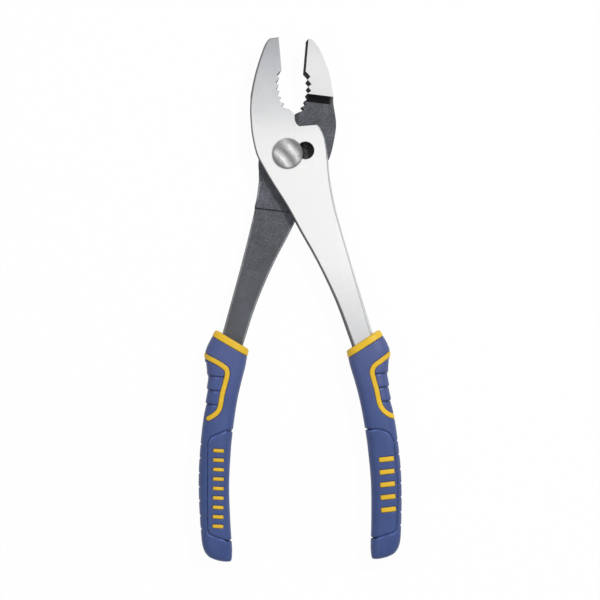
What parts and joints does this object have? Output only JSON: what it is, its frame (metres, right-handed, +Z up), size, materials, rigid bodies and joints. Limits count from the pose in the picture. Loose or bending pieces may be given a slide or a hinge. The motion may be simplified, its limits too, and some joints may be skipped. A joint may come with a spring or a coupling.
{
  "type": "slip joint pliers",
  "caption": "Slip joint pliers with a two-position pivot, toothed pipe-grip jaws, a wire notch and two-tone cushion grips.",
  "frame": {"origin": "on the pivot bolt's axis at the outer face of the nut, the lowest point, which rests on the bench", "axes": "+X to the right, +Y from the handles to the jaws, +Z up from the bench towards the bolt's domed head"},
  "size_m": [0.0973, 0.2516, 0.0181],
  "materials": {
    "polished_steel": "fine brushed, nickel bright",
    "dark_steel": "dark, satin, speckled from forging",
    "bolt_steel": "turned, satin",
    "yellow_plastic": "satin moulded",
    "blue_rubber": "matt, soft moulded"
  },
  "bodies": {
    "front": {"front_half": "polished_steel", "front_grip_core": "yellow_plastic", "front_grip_sleeve": "blue_rubber", "front_thumb_pad": "blue_rubber"},
    "pivot": {"pivot_bolt": "bolt_steel", "pivot_nut": "bolt_steel"},
    "back": {"back_half": "dark_steel", "back_grip_core": "yellow_plastic", "back_grip_sleeve": "blue_rubber", "back_thumb_pad": "blue_rubber"}
  },
  "joints": [
    {"name": "slip_shift", "type": "slide", "parent": "front", "child": "pivot", "axis": [0.9857, 0.1685, 0], "range_m": [0, 0.0086]},
    {"name": "jaw_pivot", "type": "hinge", "parent": "pivot", "child": "back", "pos_m": [0, 0, 0.00865], "axis": [0, 0, 1], "range_deg": [-46, 14.5]}
  ]
}
